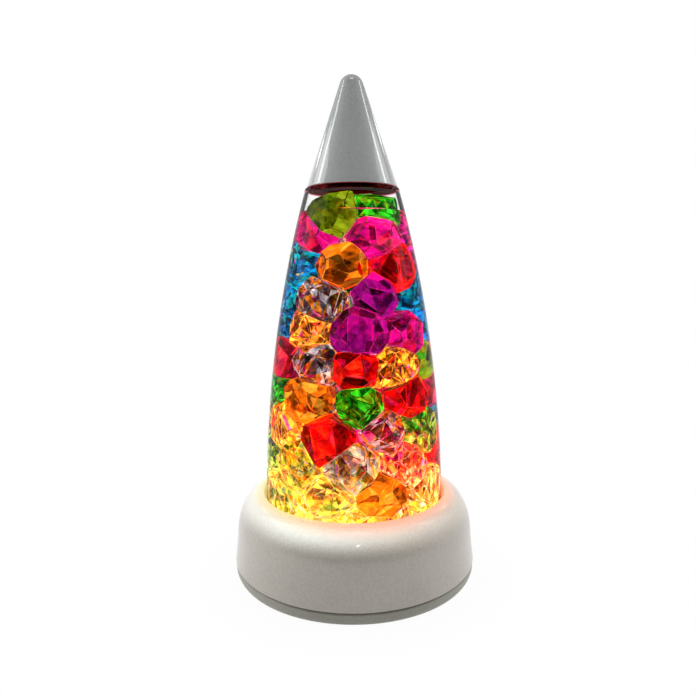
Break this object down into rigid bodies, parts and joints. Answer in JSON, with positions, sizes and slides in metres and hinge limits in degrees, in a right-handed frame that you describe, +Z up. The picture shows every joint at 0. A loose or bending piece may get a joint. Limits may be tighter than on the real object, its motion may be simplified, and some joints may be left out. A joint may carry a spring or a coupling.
{
  "type": "sensory lamp",
  "caption": "Tapered clear bottle of coloured faceted gems in liquid, standing in a low round white light base, with a white cone cap; glows from below as a calming night light.",
  "frame": {"origin": "middle of the lamp on the surface that its feet stand on", "axes": "+Z up along the bottle's axis, the front is -Y, the switch is at the back"},
  "size_m": [0.128, 0.128, 0.2555],
  "materials": {
    "base_white": "satin",
    "plate_grey": "satin",
    "cap_white": "gloss",
    "stopper_red": "satin",
    "clear_bottle": "gloss",
    "liquid_clear": "gloss",
    "gasket_rubber": "matte",
    "seat_rubber": "matte",
    "foot_rubber": "matte",
    "lens_frost": "matte",
    "reflector_white": "gloss",
    "board_white": "matte",
    "led_yellow": "gloss",
    "led_red": "gloss",
    "steel": "satin",
    "cell_wrap": "gloss",
    "tray_plastic": "matte",
    "switch_black": "matte",
    "switch_grey": "satin",
    "lead_red": "satin",
    "lead_black": "satin",
    "lead_white": "satin",
    "gem_red": "gloss",
    "gem_crimson": "gloss",
    "gem_pink": "gloss",
    "gem_purple": "gloss",
    "gem_orange": "gloss",
    "gem_yellow": "gloss",
    "gem_lime": "gloss",
    "gem_green": "gloss",
    "gem_blue": "gloss",
    "gem_clear": "gloss"
  },
  "bodies": {
    "base": {"rubber_feet": "foot_rubber", "bottom_plate": "plate_grey", "plate_screws": "steel", "base_housing": "base_white", "switch_body": "switch_black", "battery_tray": "tray_plastic", "battery_cells": "cell_wrap", "battery_contacts": "steel", "lead_red": "lead_red", "lead_black": "lead_black", "lead_white": "lead_white", "led_board": "board_white", "board_screws": "steel", "leds_yellow": "led_yellow", "leds_red": "led_red", "reflector": "reflector_white", "lens_disc": "lens_frost", "seat_ring": "seat_rubber"},
    "bottle": {"bottle": "clear_bottle", "liquid": "liquid_clear", "gems_red": "gem_red", "gems_crimson": "gem_crimson", "gems_pink": "gem_pink", "gems_purple": "gem_purple", "gems_orange": "gem_orange", "gems_yellow": "gem_yellow", "gems_lime": "gem_lime", "gems_green": "gem_green", "gems_blue": "gem_blue", "gems_clear": "gem_clear"},
    "cap": {"cone_cap": "cap_white"},
    "gasket": {"stopper_gasket": "gasket_rubber"},
    "stopper": {"stopper": "stopper_red"},
    "switch": {"switch_slider": "switch_grey"},
    "door": {"battery_door": "plate_grey"}
  },
  "joints": [
    {"name": "bottle_lift", "type": "slide", "parent": "base", "child": "bottle", "axis": [0, 0, 1], "range_m": [0, 0.06]},
    {"name": "cap_lift", "type": "slide", "parent": "bottle", "child": "cap", "axis": [0, 0, 1], "range_m": [0, 0.06]},
    {"name": "stopper_rise", "type": "slide", "parent": "bottle", "child": "gasket", "axis": [0, 0, 1], "range_m": [0, 0.0025]},
    {"name": "stopper_twist", "type": "hinge", "parent": "gasket", "child": "stopper", "pos_m": [0, 0, 0.205], "axis": [0, 0, 1], "range_deg": [0, 360]},
    {"name": "switch_slide", "type": "slide", "parent": "base", "child": "switch", "axis": [-1, 0, 0], "range_m": [0, 0.004]},
    {"name": "door_hinge", "type": "hinge", "parent": "base", "child": "door", "pos_m": [0, 0.02315, 0.0025], "axis": [1, 0, 0], "range_deg": [0, 100]}
  ],
  "couplings": [
    {"joint": "stopper_rise", "follows": "stopper_twist", "m_per_rad": 0.00039788}
  ]
}
